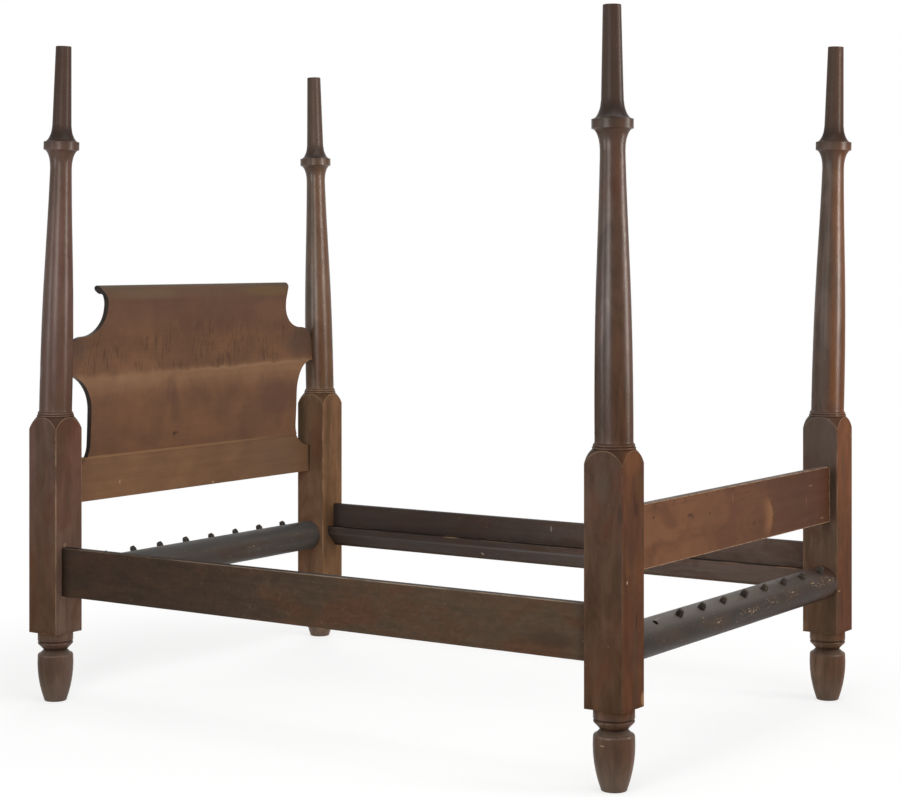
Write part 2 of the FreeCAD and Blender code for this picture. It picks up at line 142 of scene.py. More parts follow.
class Graph:
    """Shorthand for the nodes of one material."""

    def __init__(self, name):
        self.material = bpy.data.materials.new(name)
        self.material.use_nodes = True
        self.tree = self.material.node_tree
        self.shader = self.tree.nodes["Principled BSDF"]
        places = self.tree.nodes.new("ShaderNodeTexCoord")
        self.point = places.outputs["Object"]
        self.normal = places.outputs["Normal"]

    def put(self, socket, value):
        """Link an output to a socket, or set a plain value on it."""
        if isinstance(value, bpy.types.NodeSocket):
            self.tree.links.new(value, socket)
        else:
            socket.default_value = value

    def math(self, operation, *values):
        """One step of arithmetic on numbers or outputs."""
        node = self.tree.nodes.new("ShaderNodeMath")
        node.operation = operation
        for socket, value in zip(node.inputs, values):
            self.put(socket, value)
        return node.outputs[0]

    def vector(self, operation, first, second=None):
        """One step of arithmetic on vectors or colours."""
        node = self.tree.nodes.new("ShaderNodeVectorMath")
        node.operation = operation
        self.put(node.inputs[0], first)
        if operation == "SCALE":
            self.put(node.inputs["Scale"], second)
        elif second is not None:
            self.put(node.inputs[1], second)
        return node.outputs["Value" if operation in ("LENGTH", "DOT_PRODUCT") else "Vector"]

    def product(self, *values):
        """All values multiplied."""
        total = values[0]
        for value in values[1:]:
            total = self.math("MULTIPLY", total, value)
        return total

    def most(self, *values):
        """The largest of the values."""
        largest = values[0]
        for value in values[1:]:
            largest = self.math("MAXIMUM", largest, value)
        return largest

    def axes(self, point):
        """X, Y and Z of a point."""
        node = self.tree.nodes.new("ShaderNodeSeparateXYZ")
        self.put(node.inputs[0], point)
        return node.outputs[0], node.outputs[1], node.outputs[2]

    def stretched(self, scale, offset=(0.0, 0.0, 0.0)):
        """The surface point with each axis scaled, for grain that runs along one of them."""
        node = self.tree.nodes.new("ShaderNodeMapping")
        self.put(node.inputs["Vector"], self.point)
        node.inputs["Scale"].default_value = scale
        node.inputs["Location"].default_value = offset
        return node.outputs[0]

    def noise(self, scale, detail=3.0, roughness=0.55, distortion=0.0, offset=(0.0, 0.0, 0.0)):
        """Noise whose features per metre along X, Y and Z are given."""
        node = self.tree.nodes.new("ShaderNodeTexNoise")
        self.put(node.inputs["Vector"], self.stretched(scale, offset))
        node.inputs["Scale"].default_value = 1.0
        node.inputs["Detail"].default_value = detail
        node.inputs["Roughness"].default_value = roughness
        node.inputs["Distortion"].default_value = distortion
        return node.outputs["Fac"]

    def smooth(self, value, low, high, start=0.0, end=1.0):
        """Soft step from start at low to end at high."""
        node = self.tree.nodes.new("ShaderNodeMapRange")
        node.interpolation_type = "SMOOTHSTEP"
        self.put(node.inputs["Value"], value)
        for label, number in (("From Min", low), ("From Max", high), ("To Min", start), ("To Max", end)):
            node.inputs[label].default_value = number
        return node.outputs["Result"]

    def strip(self, value, middle, half, fade):
        """1 within half of the middle, fading to 0 beyond."""
        distance = self.math("ABSOLUTE", self.math("SUBTRACT", value, middle))
        return self.smooth(distance, half, half + fade, 1.0, 0.0)

    def spot(self, place, reach, core=0.4):
        """1 around a place, fading to 0 at its reach along each axis."""
        scale = tuple(1.0 / length for length in reach)
        offset = tuple(-middle / length for middle, length in zip(place, reach))
        return self.smooth(self.vector("LENGTH", self.stretched(scale, offset)), core, 1.0, 1.0, 0.0)

    def toward(self, direction, low, high, start=0.0, end=1.0):
        """Soft step from faces that look away from a direction to those that look along it."""
        return self.smooth(self.vector("DOT_PRODUCT", self.normal, direction), low, high, start, end)

    def mix(self, share, first, second):
        """The first colour, with the given share of the second in its place."""
        node = self.tree.nodes.new("ShaderNodeMix")
        node.data_type = "RGBA"
        self.put(node.inputs[0], share)
        self.put(node.inputs[6], (*first, 1.0) if isinstance(first, tuple) else first)
        self.put(node.inputs[7], (*second, 1.0) if isinstance(second, tuple) else second)
        return node.outputs[2]

    def scaled(self, colour, factor):
        """A colour made lighter or darker by a factor."""
        return self.vector("SCALE", colour, factor)

    def marks(self, colour, places):
        """Small marks on the wood, each with its place, reach, colour and strength."""
        for place, reach, mark, strength in places:
            colour = self.mix(self.product(self.spot(place, reach), strength), colour, srgb(*mark))
        return colour

    def finish(self, colour, roughness, specular, height, depth):
        """Join colour, roughness and a bump of the given depth to the shader."""
        self.put(self.shader.inputs["Base Color"], colour)
        self.put(self.shader.inputs["Roughness"], roughness)
        self.shader.inputs["Specular IOR Level"].default_value = specular
        node = self.tree.nodes.new("ShaderNodeBump")
        node.inputs["Strength"].default_value = 0.5
        node.inputs["Distance"].default_value = depth
        self.put(node.inputs["Height"], height)
        self.put(self.shader.inputs["Normal"], node.outputs[0])
        return self.material


def post_wood(name, side_x, side_y, west, south, foot, shaft, spire, gloss, spire_gloss,
              amber_figure_and_sheen, figure, wear, marks):
    """Dark stained post: soft streaks, thin worn arrises and arch edges, pale ring crests that are partly a
    painted highlight, painted shade in its grooves and a dusty foot.

    west and south hold the upper and lower colour of the sides toward -X and -Y, partly painted light: each
    side's pair is set to the light and sheen that side showed. foot, shaft and spire scale the colour of
    those lengths, and gloss and spire_gloss are the polish on shaft and spire. The amber share is how far the
    shaft turns amber, partly grain and partly a painted warm sheen on the sides toward -Y and +X. figure and
    wear are the strengths of the clouds and of the worn edges.
    """
    graph = Graph(name)
    x, y, z = graph.axes(graph.point)
    u = graph.math("ABSOLUTE", graph.math("SUBTRACT", x, side_x * post_x))
    v = graph.math("ABSOLUTE", graph.math("SUBTRACT", y, side_y * post_y))
    offset = (side_x * 3.1, side_y * 5.7, 0.0)
    streaks = graph.noise((28.0, 28.0, 2.2), 4.0, 0.6, 0.7, offset)
    clouds = graph.noise((20.0, 20.0, 8.0), 5.0, 0.62, 0.8, offset)
    pores = graph.noise((330.0, 330.0, 14.0), 2.0, 0.5, 0.0, offset)
    patches = graph.noise((8.0, 8.0, 4.5), 3.0, 0.55, 0.8, offset)
    olive = graph.noise((16.0, 16.0, 3.0), 2.0, 0.5, 0.4, (offset[1], offset[0], 2.0))
    amber = graph.noise((22.0, 22.0, 2.0), 3.0, 0.55, 0.5, (offset[1], offset[0], 7.0))
    flecks = graph.noise((150.0, 150.0, 90.0), 1.0, 0.4, 0.0, offset)

    upper = graph.smooth(z, 0.25, 0.88)
    # 0 on sides toward -X and +Y, 1 on sides toward -Y and +X
    facing = graph.math("ADD", graph.vector("DOT_PRODUCT", graph.normal, (0.5, -0.5, 0.0)), 0.5)
    # Painted light in part: each side's colour pair is set to the light and sheen that side showed, the -X
    # and +Y sides greyer for their sheen
    colour = graph.mix(facing, graph.mix(upper, west[1], west[0]), graph.mix(upper, south[1], south[0]))
    colour = graph.scaled(colour, graph.smooth(streaks, 0.3, 0.72, 1 + 0.06 * figure, 1 - 0.09 * figure))
    colour = graph.scaled(colour, graph.smooth(clouds, 0.3, 0.7, 1 - 0.15 * figure, 1 + 0.16 * figure))
    colour = graph.scaled(colour, graph.smooth(pores, 0.35, 0.65, 1.03, 0.96))
    colour = graph.mix(graph.smooth(patches, 0.48, 0.68, 0.0, 0.5), colour, srgb(90, 54, 39))
    colour = graph.mix(graph.smooth(olive, 0.50, 0.66, 0.0, 0.4), colour, srgb(72, 60, 44))
    on_shaft = graph.smooth(z, 0.90, 0.95)
    below_spire = graph.smooth(z, spire_bottom - 0.12, spire_bottom, 1.0, 0.3)
    # Painted warm sheen in part: amber grain on the shaft's sides toward -Y and +X, below the spire, standing
    # in for a warm highlight
    glow = graph.product(on_shaft, below_spire, graph.smooth(amber, 0.38, 0.58, 0.0, amber_figure_and_sheen),
                         graph.smooth(facing, 0.12, 0.46))
    colour = graph.mix(glow, colour, srgb(122, 78, 46))
    colour = graph.scaled(colour, graph.smooth(z, *shaft_fade, 1.0, shaft))
    on_spire = graph.smooth(z, *spire_fade)
    colour = graph.mix(graph.product(on_spire, 0.45), colour, srgb(98, 81, 72))
    colour = graph.scaled(colour, graph.smooth(on_spire, 0.0, 1.0, 1.0, spire))
    colour = graph.mix(graph.smooth(z, 0.17, 0.21, 0.2, 0.0), colour, srgb(102, 83, 70))
    colour = graph.scaled(colour, graph.smooth(z, *foot_fade, foot, 1.0))
    foot_streaks = graph.product(graph.smooth(z, *foot_fade, 1.0, 0.0), graph.smooth(streaks, 0.40, 0.60))
    colour = graph.scaled(colour, graph.smooth(foot_streaks, 0.0, 1.0, 1.0, 0.76))
    # Painted shade in the cove just above the collar
    painted_cove_shade = graph.product(graph.smooth(z, collar_top - 0.001, collar_top + 0.001),
                         graph.smooth(z, collar_top + 0.006, collar_top + 0.075, 1.0, 0.0))
    colour = graph.scaled(colour, graph.smooth(painted_cove_shade, 0.0, 1.0, 1.0, 0.5))

    outward = graph.most(u, v)
    radius = graph.math("SQRT", graph.math("ADD", graph.math("MULTIPLY", u, u), graph.math("MULTIPLY", v, v)))
    out = graph.math("SUBTRACT", radius, dome_centre_out)
    under_root = graph.math("SUBTRACT", dome_radius ** 2, graph.math("MULTIPLY", out, out))
    dome = graph.math("SQRT", graph.most(under_root, 0.0))
    above_dome = graph.math("SUBTRACT", graph.math("SUBTRACT", z, dome_centre_z), dome)
    on_block = graph.product(graph.smooth(z, block_bottom - 0.001, block_bottom + 0.001),
                             graph.smooth(z, arch_spring, arch_spring + 0.004, 1.0, 0.0))
    above_spring = graph.product(graph.smooth(z, arch_spring - 0.002, arch_spring + 0.003),
                                 graph.smooth(z, arch_top - 0.001, arch_top + 0.001, 1.0, 0.0))
    spandrel = graph.product(above_spring, graph.smooth(outward, *face_fade, 1.0, 0.0))
    colour = graph.scaled(colour, graph.smooth(spandrel, 0.0, 1.0, 1.0, 0.62))

    wear_noise = graph.noise((35.0, 35.0, 9.0), 4.0, 0.65, 0.0, offset)
    arris = graph.product(on_block, graph.smooth(graph.math("ADD", u, v), *arris_fade), wear,
                          graph.smooth(wear_noise, 0.40, 0.62), graph.smooth(z, 0.35, 0.84, 0.45, 1.0))
    rim = graph.product(above_spring, graph.smooth(outward, *face_fade),
                        graph.smooth(above_dome, -0.0032, -0.0010),
                        graph.smooth(wear_noise, 0.34, 0.58, 0.15, 0.55))
    near_bottom = graph.smooth(z, block_bottom + 0.001, block_bottom + 0.004, 1.0, 0.0)
    lower_edge = graph.product(on_block, near_bottom, graph.smooth(wear_noise, 0.5, 0.62, 0.0, 0.4))
    # Ring crests turn pale: partly wear, partly a painted highlight
    crest_wear_and_highlight = graph.most(*[graph.strip(z, crest, 0.0008, 0.0016) for crest in ring_crests])
    rings = graph.product(crest_wear_and_highlight, graph.smooth(wear_noise, 0.4, 0.6, 0.0, 0.25 * wear))
    colour = graph.mix(graph.most(arris, rim, lower_edge, rings), colour, srgb(146, 120, 96))

    # Painted shade in the grooves of the foot, rings and shaft, and the block made darker toward its bottom
    grooves = [graph.strip(z, groove, 0.0005, 0.0014) for groove in ring_grooves]
    darker_block_bottom = graph.product(on_block, graph.smooth(z, block_bottom, block_bottom + 0.02, 0.35, 0.0))
    groove_shade_and_dark_block_bottom = graph.most(graph.strip(z, foot_neck, 0.004, 0.008), graph.strip(z, foot_groove, 0.0015, 0.002),
                         *grooves, graph.strip(z, shaft_groove, 0.0003, 0.0016), darker_block_bottom)
    colour = graph.scaled(colour, graph.smooth(groove_shade_and_dark_block_bottom, 0.0, 1.0, 1.0, 0.5))
    dust = graph.most(graph.product(graph.strip(z, foot_shoulder, 0.006, 0.005), 0.35),
                      graph.smooth(z, 0.005, 0.11, 0.5, 0.0))
    colour = graph.mix(dust, colour, srgb(112, 98, 86))
    colour = graph.mix(graph.smooth(flecks, 0.79, 0.83, 0.0, 0.5), colour, srgb(150, 124, 100))
    colour = graph.marks(colour, marks)

    roughness = graph.smooth(streaks, 0.25, 0.75, 0.32, 0.44)
    height = graph.math("ADD", graph.product(streaks, 0.6), graph.product(pores, 0.15))
    turned = graph.most(graph.product(graph.smooth(z, 0.885, 0.895), graph.smooth(z, 0.95, 1.30, 0.38, 1.0)),
                        graph.smooth(z, 0.195, 0.214, 0.7, 0.0))
    polish = graph.product(turned, graph.smooth(z, *spire_fade, gloss, spire_gloss),
                           graph.smooth(clouds, 0.3, 0.7, 0.85, 1.15))
    graph.put(graph.shader.inputs["Coat Weight"], polish)
    graph.shader.inputs["Coat Roughness"].default_value = 0.33
    graph.shader.inputs["Coat IOR"].default_value = 1.5
    return graph.finish(colour, roughness, specular=0.02, height=height, depth=0.0006)


def headboard_wood(name, marks):
    """Mid-brown board with its grain across the bed, a curly figure above, a painted pale band of light at
    mid height and a painted highlight along the crest of its wave.
    """
    graph = Graph(name)
    x, _, z = graph.axes(graph.point)
    grain = graph.noise((2.5, 30.0, 60.0), 4.0, 0.6, 0.6)
    patches = graph.noise((5.0, 4.0, 7.0), 3.0, 0.55, 0.6)
    clouds = graph.noise((15.0, 6.0, 10.0), 4.0, 0.6, 0.5)
    curl = graph.noise((85.0, 8.0, 14.0), 3.0, 0.6, 0.6)
    fine_curl = graph.noise((150.0, 10.0, 18.0), 2.0, 0.5, 0.4)
    curl_zone = graph.noise((8.0, 5.0, 10.0), 3.0, 0.6, 0.3)

    colour = graph.mix(graph.smooth(patches, 0.35, 0.7), srgb(100, 69, 49), srgb(113, 79, 55))
    colour = graph.mix(graph.smooth(z, 1.10, 1.22, 0.0, 0.7), colour, srgb(94, 66, 52))
    # Painted light: a pale band at mid height, just below the crest of the wave
    band_top = graph.math("ADD", graph.math("MULTIPLY", clouds, 0.03), graph.math("MULTIPLY", x, 0.012))
    band_z = graph.math("SUBTRACT", z, band_top)
    painted_light_band = graph.product(graph.smooth(z, 0.92, 1.0), graph.smooth(band_z, 0.986, 1.014, 1.0, 0.0))
    painted_light_band_share = graph.product(painted_light_band, graph.smooth(patches, 0.3, 0.7, 0.6, 0.95))
    colour = graph.mix(painted_light_band_share, colour, srgb(132, 98, 71))
    colour = graph.scaled(colour, graph.smooth(grain, 0.3, 0.7, 1.03, 0.965))
    colour = graph.scaled(colour, graph.smooth(clouds, 0.3, 0.7, 0.93, 1.06))
    upper = graph.product(graph.smooth(z, 0.99, 1.03), graph.smooth(z, 1.11, 1.22, 1.0, 0.2),
                          graph.smooth(curl_zone, 0.42, 0.57, 0.10, 1.0))
    lower = graph.product(graph.smooth(z, 0.88, 0.96, 0.0, 0.4), graph.smooth(z, 0.98, 1.02, 1.0, 0.0),
                          graph.smooth(curl_zone, 0.46, 0.62))
    curls = graph.most(graph.smooth(curl, 0.50, 0.61), graph.smooth(fine_curl, 0.54, 0.66, 0.0, 0.55))
    streaks = graph.product(graph.most(upper, lower), curls)
    colour = graph.scaled(colour, graph.smooth(streaks, 0.0, 1.0, 1.0, 0.73))
    # Painted highlight: a pale line along the crest of the wave, stronger toward +X
    crest = graph.product(graph.strip(band_z, crest_height, 0.0015, 0.006),
                          graph.smooth(x, -0.25, 0.10, 0.0, 0.35))
    colour = graph.mix(crest, colour, srgb(150, 116, 86))
    strip_z = graph.math("ADD", z, graph.math("MULTIPLY", graph.math("SUBTRACT", clouds, 0.5), 0.09))
    top_share = graph.smooth(graph.math("ABSOLUTE", x), 0.08, 0.42, 0.45, 0.85)
    top_strip = graph.product(graph.smooth(strip_z, 1.235, 1.290), top_share)
    colour = graph.mix(top_strip, colour, srgb(86, 69, 52))
    joint = graph.product(graph.smooth(z, *panel_joint_fade, 1.0, 0.0), graph.smooth(x, 0.1, 0.55, 0.75, 0.1))
    colour = graph.mix(joint, colour, srgb(150, 114, 80))
    colour = graph.marks(colour, marks)
    ear_tops = graph.product(graph.toward(upward, 0.6, 0.85), graph.smooth(z, 1.18, 1.22, 1.0, 0.0))
    ends = graph.most(graph.toward(rightward, 0.35, 0.7), graph.toward(leftward, 0.35, 0.7), ear_tops)
    colour = graph.mix(graph.product(ends, 0.92), colour, srgb(38, 34, 32))
    colour = graph.mix(graph.smooth(z, *roll_fade, 0.0, 0.75), colour, srgb(60, 57, 44))
    roughness = graph.smooth(grain, 0.25, 0.75, 0.40, 0.50)
    height = graph.math("ADD", graph.product(grain, 0.5), graph.product(fine_curl, 0.3))
    return graph.finish(colour, roughness, specular=0.10, height=height, depth=0.0006)


def headboard_rail_wood(name, marks):
    """Lower board of the headboard: yellower, with pale lines along its joint and its worn lower edge."""
    graph = Graph(name)
    x, _, z = graph.axes(graph.point)
    grain = graph.noise((2.0, 40.0, 70.0), 4.0, 0.6, 0.5)
    patches = graph.noise((5.0, 4.0, 7.0), 3.0, 0.55, 0.4)
    wear = graph.noise((24.0, 24.0, 60.0), 3.0, 0.6)
    colour = graph.mix(graph.smooth(patches, 0.35, 0.7), srgb(110, 79, 56), srgb(125, 91, 64))
    colour = graph.mix(graph.smooth(x, 0.0, 0.55, 0.0, 0.5), colour, srgb(100, 77, 58))
    colour = graph.scaled(colour, graph.smooth(grain, 0.3, 0.7, 1.05, 0.93))
    crease = graph.product(graph.smooth(z, *rail_joint_fade), graph.smooth(x, 0.1, 0.55, 0.8, 0.1))
    edge = graph.product(graph.smooth(z, *headboard_bottom_fade, 1.0, 0.0),
                         graph.smooth(wear, 0.45, 0.6, 0.1, 0.7))
    colour = graph.mix(graph.most(crease, edge), colour, srgb(156, 118, 82))
    colour = graph.marks(colour, marks)
    roughness = graph.smooth(grain, 0.25, 0.75, 0.40, 0.5)
    return graph.finish(colour, roughness, specular=0.10, height=grain, depth=0.0005)


def foot_board_wood(name, marks):
    """Orange-red board with its grain across the bed, a soft ring figure and pale worn edges."""
    graph = Graph(name)
    x, _, z = graph.axes(graph.point)
    grain = graph.noise((2.5, 40.0, 48.0), 4.0, 0.6, 0.7)
    patches = graph.noise((7.0, 6.0, 11.0), 4.0, 0.6, 0.7)
    wear = graph.noise((30.0, 30.0, 60.0), 3.0, 0.6)
    flecks = graph.noise((110.0, 110.0, 110.0), 1.0, 0.4)
    colour = graph.mix(graph.smooth(x, -0.6, 0.6), srgb(123, 83, 57), srgb(82, 53, 38))
    colour = graph.mix(graph.smooth(patches, 0.45, 0.68, 0.0, 0.55), colour, srgb(92, 58, 42))
    colour = graph.scaled(colour, graph.smooth(patches, 0.25, 0.5, 1.08, 0.97))
    colour = graph.scaled(colour, graph.smooth(grain, 0.3, 0.7, 1.05, 0.93))
    ring_scale = (10.5, 0.0, 13.0)
    ring_offset = tuple(-middle * scale for middle, scale in zip(ring_centre, ring_scale))
    ring_distance = graph.vector("LENGTH", graph.stretched(ring_scale, ring_offset))
    ring = graph.math("ADD", ring_distance, graph.product(patches, 0.5))
    rings = graph.product(graph.math("SINE", graph.math("MULTIPLY", ring, 17.0)), 0.5)
    near_ring = graph.smooth(ring, 0.5, 1.3, 1.0, 0.0)
    colour = graph.scaled(colour, graph.math("ADD", graph.product(rings, near_ring, 0.06), 1.0))
    crescent = graph.product(graph.smooth(ring, 0.75, 1.42), graph.smooth(ring, 1.46, 1.62, 1.0, 0.0),
                             graph.smooth(x, 0.10, 0.19), graph.strip(z, 0.630, 0.020, 0.055), 0.5)
    colour = graph.mix(crescent, colour, srgb(156, 110, 74))
    soot = graph.product(graph.smooth(z, 0.700, 0.735), graph.smooth(wear, 0.5, 0.66, 0.0, 0.5))
    colour = graph.mix(soot, colour, srgb(60, 45, 38))
    edges = graph.most(graph.smooth(z, *board_top_fade, 0.0, 0.8),
                       graph.smooth(z, *board_bottom_fade, 0.95, 0.0),
                       graph.smooth(graph.math("ABSOLUTE", x), *board_end_fade, 0.0, 0.8))
    worn_edges = graph.product(edges, graph.smooth(wear, 0.36, 0.58, 0.3, 1.0))
    colour = graph.mix(worn_edges, colour, srgb(184, 150, 120))
    top_tone = graph.mix(graph.smooth(wear, 0.32, 0.68), srgb(78, 62, 52), srgb(108, 93, 82))
    colour = graph.mix(graph.toward(upward, 0.6, 0.9), colour, top_tone)
    colour = graph.mix(graph.smooth(flecks, 0.76, 0.81, 0.0, 0.4), colour, srgb(150, 116, 90))
    colour = graph.marks(colour, marks)
    roughness = graph.smooth(grain, 0.25, 0.75, 0.40, 0.5)
    return graph.finish(colour, roughness, specular=0.03, height=grain, depth=0.0005)


def side_rail_wood(name, marks):
    """Dark brown rail with its grain along the bed, thin pale arrises, a dark top, an inner side in greyer
    tones that are partly a painted sheen, and a painted highlight along its nose.
    """
    graph = Graph(name)
    x, y, z = graph.axes(graph.point)
    across = graph.math("ABSOLUTE", x)
    grain = graph.noise((40.0, 2.2, 55.0), 4.0, 0.6, 0.6)
    patches = graph.noise((9.0, 5.0, 13.0), 4.0, 0.6, 0.8)
    scuffs = graph.noise((60.0, 26.0, 48.0), 4.0, 0.65, 1.2)
    wear = graph.noise((60.0, 8.0, 60.0), 4.0, 0.65)
    flecks = graph.noise((120.0, 60.0, 120.0), 1.0, 0.4)
    colour = graph.mix(graph.smooth(y, -0.9, 0.9), srgb(79, 64, 50), srgb(55, 42, 33))
    red_patches = graph.product(graph.smooth(patches, 0.44, 0.66), graph.smooth(y, -0.2, 0.8, 0.75, 0.25))
    colour = graph.mix(red_patches, colour, srgb(82, 55, 39))
    colour = graph.scaled(colour, graph.smooth(patches, 0.25, 0.5, 0.9, 1.03))
    colour = graph.scaled(colour, graph.smooth(scuffs, 0.35, 0.68, 0.93, 1.13))
    colour = graph.scaled(colour, graph.smooth(grain, 0.3, 0.7, 1.06, 0.92))
    inner = graph.smooth(across, *inner_face_fade, 1.0, 0.0)
    # Inner side: greyer tones, partly a painted sheen, lighter toward the foot end
    inner_tone_and_sheen = graph.mix(graph.smooth(y, -0.6, 0.3), srgb(100, 85, 77), srgb(70, 60, 56))
    inner_tone_and_sheen = graph.mix(graph.smooth(patches, 0.46, 0.66, 0.0, 0.5), inner_tone_and_sheen, srgb(72, 52, 44))
    inner_tone_and_sheen = graph.scaled(inner_tone_and_sheen, graph.smooth(wear, 0.35, 0.65, 0.93, 1.08))
    colour = graph.mix(graph.product(inner, 0.8), colour, inner_tone_and_sheen)
    scratch_noise = graph.noise((26.0, 12.0, 26.0), 2.0, 0.5, 2.5)
    hairlines = graph.strip(scratch_noise, 0.5, 0.002, 0.006)
    scratches = graph.product(hairlines, graph.strip(y, -0.15, 0.25, 0.35),
                              graph.smooth(scuffs, 0.42, 0.6, 0.0, 0.35))
    colour = graph.mix(scratches, colour, srgb(128, 106, 88))
    colour = graph.mix(graph.product(graph.toward(upward, 0.7, 0.95), 0.9), colour, srgb(28, 24, 22))
    top_arris = graph.product(graph.smooth(z, *rail_top_fade), graph.smooth(across, *outer_face_fade),
                              graph.smooth(wear, 0.40, 0.58, 0.3, 0.85), graph.smooth(y, -0.5, 0.8, 1.0, 0.4),
                              graph.toward(upward, 0.85, 0.95, 1.0, 0.0))
    lower_arris = graph.product(graph.smooth(z, *rail_bottom_fade, 1.0, 0.0),
                                graph.smooth(wear, 0.5, 0.62, 0.0, 0.6))
    colour = graph.mix(graph.most(top_arris, lower_arris), colour, srgb(146, 128, 112))
    ledge_arris = graph.product(inner, graph.strip(z, ledge_edge, 0.0010, 0.0010),
                                graph.smooth(wear, 0.46, 0.62, 0.0, 0.55),
                                graph.toward(upward, 0.6, 0.9, 1.0, 0.0))
    # Painted highlight: a pale grey line along the nose edge of the inner side
    nose_highlight = graph.product(inner, graph.strip(z, nose_edge, 0.002, 0.003),
                               graph.smooth(y, -0.42, -0.2, 0.15, 1.0), graph.smooth(y, -0.2, 0.7, 0.65, 0.2))
    colour = graph.mix(ledge_arris, colour, srgb(140, 118, 96))
    colour = graph.mix(nose_highlight, colour, srgb(106, 101, 99))
    along = graph.math("ABSOLUTE", y)
    colour = graph.scaled(colour, graph.smooth(along, 0.90, 0.945, 1.0, 0.62))
    colour = graph.mix(graph.smooth(flecks, 0.79, 0.83, 0.0, 0.45), colour, srgb(140, 116, 94))
    raw_wood = graph.mix(graph.smooth(grain, 0.3, 0.7), srgb(128, 101, 75), srgb(108, 83, 60))
    colour = graph.mix(graph.smooth(along, *shoulder_fade), colour, raw_wood)
    colour = graph.marks(colour, marks)
    roughness = graph.smooth(grain, 0.25, 0.75, 0.42, 0.52)
    return graph.finish(colour, roughness, specular=0.05, height=grain, depth=0.0006)


def rope_rail_paint(name, tones, top_tone, warm_end, chipped_places, marks):
    """Slate grey-brown paint, worn to brown in front, speckled and chipped in clusters. Faces turned up take
    the top tone, which on the foot rail is a painted pale light on its top and on the head rail a slate tone.

    warm_end is how far the paint turns brown toward +X. A chipped place has its X, its height and its reach.
    """
    graph = Graph(name)
    x, _, z = graph.axes(graph.point)
    grain = graph.noise((3.0, 45.0, 45.0), 4.0, 0.6, 0.5)
    patches = graph.noise((8.0, 16.0, 16.0), 4.0, 0.6, 0.7)
    chip_noise = graph.noise((120.0, 260.0, 260.0), 3.0, 0.6, 1.0)
    specks = graph.noise((95.0, 170.0, 170.0), 2.0, 0.5, 0.6)
    colour = graph.mix(graph.smooth(patches, 0.35, 0.7), *tones)
    # Faces turned up take the top tone: on the foot rail a painted pale light, on the head rail a slate paint
    # tone
    colour = graph.mix(graph.toward(upward, 0.25, 0.9), colour, top_tone)
    colour = graph.mix(graph.smooth(x, -0.2, 0.4, 0.0, 0.60 * warm_end), colour, srgb(52, 36, 28))
    worn = graph.product(graph.strip(z, 0.362, 0.018, 0.022), graph.smooth(patches, 0.42, 0.64, 0.0, 0.5))
    colour = graph.mix(worn, colour, srgb(74, 56, 46))
    colour = graph.scaled(colour, graph.smooth(grain, 0.3, 0.7, 1.08, 0.9))
    colour = graph.mix(graph.smooth(x, 0.42, 0.60, 0.0, 0.92 * warm_end), colour, srgb(60, 43, 34))
    cluster = 0.0
    for middle, height, reach in chipped_places:
        along = graph.strip(x, middle, reach * 0.4, reach * 0.6)
        cluster = graph.most(cluster, graph.product(along, graph.strip(z, height, 0.006, 0.014)))
    chips = graph.most(graph.product(graph.smooth(chip_noise, 0.60, 0.64), cluster, 0.8),
                       graph.smooth(specks, 0.70, 0.74, 0.0, 0.55))
    colour = graph.mix(chips, colour, srgb(158, 132, 106))
    colour = graph.marks(colour, marks)
    roughness = graph.smooth(patches, 0.3, 0.7, 0.36, 0.5)
    return graph.finish(colour, roughness, specular=0.06, height=grain, depth=0.0006)


def peg_wood(name):
    """Dark, mottled peg, lighter on its faces turned up."""
    graph = Graph(name)
    grain = graph.noise((120.0, 120.0, 120.0), 3.0, 0.6, 0.4)
    patches = graph.noise((30.0, 30.0, 30.0), 2.0, 0.5)
    colour = graph.mix(graph.smooth(patches, 0.35, 0.65), srgb(40, 34, 29), srgb(64, 53, 44))
    colour = graph.scaled(colour, graph.smooth(grain, 0.3, 0.7, 1.2, 0.75))
    colour = graph.mix(graph.toward(upward, 0.75, 0.95), colour, srgb(78, 68, 58))
    roughness = graph.smooth(grain, 0.3, 0.7, 0.5, 0.62)
    return graph.finish(colour, roughness, specular=0.15, height=grain, depth=0.0008)


def dress(nodes, material):
    """Give the named pieces a material in place of the ones they came with."""
    for name in nodes:
        slots = frame["nodes"][name].data.materials
        slots.clear()
        slots.append(material)


def light(name, place, size, radiance, tint, target=softbox_target, spread_degrees=180.0,
          diffuse=True, glossy=True):
    """Rectangular area light that faces its target."""
    data = bpy.data.lights.new(name, "AREA")
    data.shape = "RECTANGLE"
    data.size, data.size_y = size
    data.energy = radiance * math.pi * size[0] * size[1]
    data.color = tint
    data.spread = math.radians(spread_degrees)
    lamp = bpy.data.objects.new(name, data)
    lamp.location = place
    lamp.visible_diffuse = diffuse
    lamp.visible_glossy = glossy
    lamp.rotation_euler = (Vector(target) - Vector(place)).to_track_quat("-Z", "Y").to_euler()
    bpy.context.scene.collection.objects.link(lamp)


def seen_directly(tree):
    """1 for rays from the camera, from glossy surfaces and through clear ones, and 0 for all others."""
    path = tree.nodes.new("ShaderNodeLightPath")
    total = path.outputs["Is Camera Ray"]
    for label in ("Is Glossy Ray", "Is Transmission Ray"):
        node = tree.nodes.new("ShaderNodeMath")
        node.operation = "MAXIMUM"
        tree.links.new(total, node.inputs[0])
        tree.links.new(path.outputs[label], node.inputs[1])
        total = node.outputs[0]
    return total


def world():
    """White surroundings that light the bed with less than the strength they show."""
    scene_world = bpy.data.worlds.new("white_studio")
    scene_world.use_nodes = True
    tree = scene_world.node_tree
    backdrop = tree.nodes["Background"]
    strength = tree.nodes.new("ShaderNodeMapRange")
    tree.links.new(seen_directly(tree), strength.inputs["Value"])
    strength.inputs["To Min"].default_value = world_fill
    strength.inputs["To Max"].default_value = 1.0
    tree.links.new(strength.outputs[0], backdrop.inputs["Strength"])
    backdrop.inputs["Color"].default_value = (1.0, 1.0, 1.0, 1.0)
    bpy.context.scene.world = scene_world


